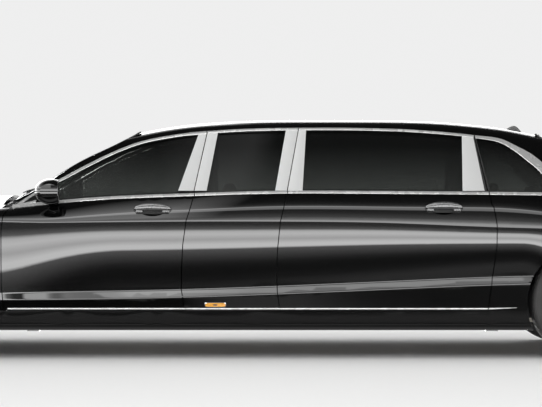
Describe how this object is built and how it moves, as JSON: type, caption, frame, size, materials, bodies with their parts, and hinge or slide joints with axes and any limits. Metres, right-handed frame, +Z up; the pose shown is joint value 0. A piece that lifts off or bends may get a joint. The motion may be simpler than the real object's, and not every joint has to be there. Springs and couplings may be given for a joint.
{
  "type": "stretch limousine",
  "caption": "Long saloon limousine with opening doors, bonnet and boot lid, steered front wheels, tinted glass, and a rear cabin with facing seats behind a partition.",
  "frame": {"origin": "on the ground under the middle of the car's outer box", "axes": "+X forward, +Y to the car's left, +Z up"},
  "size_m": [6.5019, 2.256, 1.5983],
  "materials": {
    "black_paint": "gloss",
    "bright_metal": "polished",
    "steel": "satin",
    "cast": "matte",
    "alloy": "satin",
    "tyre": "matte",
    "tinted_glass": "gloss",
    "clear_lamp": "gloss",
    "red_lamp": "gloss",
    "leather": "satin",
    "trim_plastic": "matte"
  },
  "bodies": {
    "body": {"body_side_left": "black_paint", "body_side_right": "black_paint", "cowl_panel": "trim_plastic", "dashboard": "trim_plastic", "engine_block": "cast", "exhaust": "steel", "facing_seats": "leather", "fixed_side_glass": "tinted_glass", "floor_pan": "steel", "front_bumper": "black_paint", "front_seats": "leather", "front_subframe": "steel", "front_wing_left": "black_paint", "front_wing_right": "black_paint", "grille": "bright_metal", "headlamps": "clear_lamp", "mid_panel_left": "black_paint", "mid_panel_right": "black_paint", "partition_wall": "trim_plastic", "radiator": "alloy", "rear_bumper": "black_paint", "rear_seats": "leather", "rear_shelf": "trim_plastic", "rear_subframe": "steel", "rear_window": "tinted_glass", "roof_panel": "black_paint", "tail_lamps": "red_lamp", "wheel_liners": "trim_plastic", "windscreen": "tinted_glass"},
    "front_door_left": {"front_door_left": "black_paint", "front_door_glass_left": "tinted_glass", "front_door_handle_left": "bright_metal", "mirror_left": "black_paint"},
    "front_door_right": {"front_door_right": "black_paint", "front_door_glass_right": "tinted_glass", "front_door_handle_right": "bright_metal", "mirror_right": "black_paint"},
    "rear_door_left": {"rear_door_left": "black_paint", "rear_door_glass_left": "tinted_glass", "rear_door_handle_left": "bright_metal"},
    "rear_door_right": {"rear_door_right": "black_paint", "rear_door_glass_right": "tinted_glass", "rear_door_handle_right": "bright_metal"},
    "bonnet": {"bonnet": "black_paint"},
    "boot_lid": {"boot_lid": "black_paint"},
    "front_knuckle_left": {"front_knuckle_left": "cast"},
    "front_knuckle_right": {"front_knuckle_right": "cast"},
    "front_wheel_left": {"front_rim_left": "alloy", "front_tyre_left": "tyre"},
    "front_wheel_right": {"front_rim_right": "alloy", "front_tyre_right": "tyre"},
    "rear_wheel_left": {"rear_rim_left": "alloy", "rear_tyre_left": "tyre"},
    "rear_wheel_right": {"rear_rim_right": "alloy", "rear_tyre_right": "tyre"},
    "steering_wheel": {"steering_wheel": "trim_plastic"}
  },
  "joints": [
    {"name": "front_door_left_hinge", "type": "hinge", "parent": "body", "child": "front_door_left", "pos_m": [1.763, 0.9395, 0.8], "axis": [0, 0, -1], "range_deg": [0, 65]},
    {"name": "front_door_right_hinge", "type": "hinge", "parent": "body", "child": "front_door_right", "pos_m": [1.763, -0.9395, 0.8], "axis": [0, 0, 1], "range_deg": [0, 65]},
    {"name": "rear_door_left_hinge", "type": "hinge", "parent": "body", "child": "rear_door_left", "pos_m": [-0.07, 0.946, 0.8], "axis": [0, 0, -1], "range_deg": [0, 68]},
    {"name": "rear_door_right_hinge", "type": "hinge", "parent": "body", "child": "rear_door_right", "pos_m": [-0.07, -0.946, 0.8], "axis": [0, 0, 1], "range_deg": [0, 68]},
    {"name": "bonnet_hinge", "type": "hinge", "parent": "body", "child": "bonnet", "pos_m": [1.835, 0, 1.067], "axis": [0, -1, 0], "range_deg": [0, 50]},
    {"name": "boot_lid_hinge", "type": "hinge", "parent": "body", "child": "boot_lid", "pos_m": [-2.475, 0, 1.116], "axis": [0, 1, 0], "range_deg": [0, 70]},
    {"name": "steer_left", "type": "hinge", "parent": "body", "child": "front_knuckle_left", "pos_m": [2.337, 0.735, 0.37], "axis": [0, 0, 1], "range_deg": [-35, 35]},
    {"name": "steer_right", "type": "hinge", "parent": "body", "child": "front_knuckle_right", "pos_m": [2.337, -0.735, 0.37], "axis": [0, 0, 1], "range_deg": [-35, 35]},
    {"name": "front_wheel_left_spin", "type": "hinge", "parent": "front_knuckle_left", "child": "front_wheel_left", "pos_m": [2.337, 0.806, 0.37], "axis": [0, 1, 0], "continuous": true},
    {"name": "front_wheel_right_spin", "type": "hinge", "parent": "front_knuckle_right", "child": "front_wheel_right", "pos_m": [2.337, -0.806, 0.37], "axis": [0, 1, 0], "continuous": true},
    {"name": "rear_wheel_left_spin", "type": "hinge", "parent": "body", "child": "rear_wheel_left", "pos_m": [-2.081, 0.806, 0.37], "axis": [0, 1, 0], "continuous": true},
    {"name": "rear_wheel_right_spin", "type": "hinge", "parent": "body", "child": "rear_wheel_right", "pos_m": [-2.081, -0.806, 0.37], "axis": [0, 1, 0], "continuous": true},
    {"name": "steering_column", "type": "hinge", "parent": "body", "child": "steering_wheel", "pos_m": [1.37, 0.375, 0.93], "axis": [0.9136, 0, -0.4067], "range_deg": [-450, 450]}
  ],
  "couplings": [
    {"joint": "steer_right", "follows": "steer_left", "ratio": 1},
    {"joint": "steering_column", "follows": "steer_left", "ratio": -12.857}
  ]
}
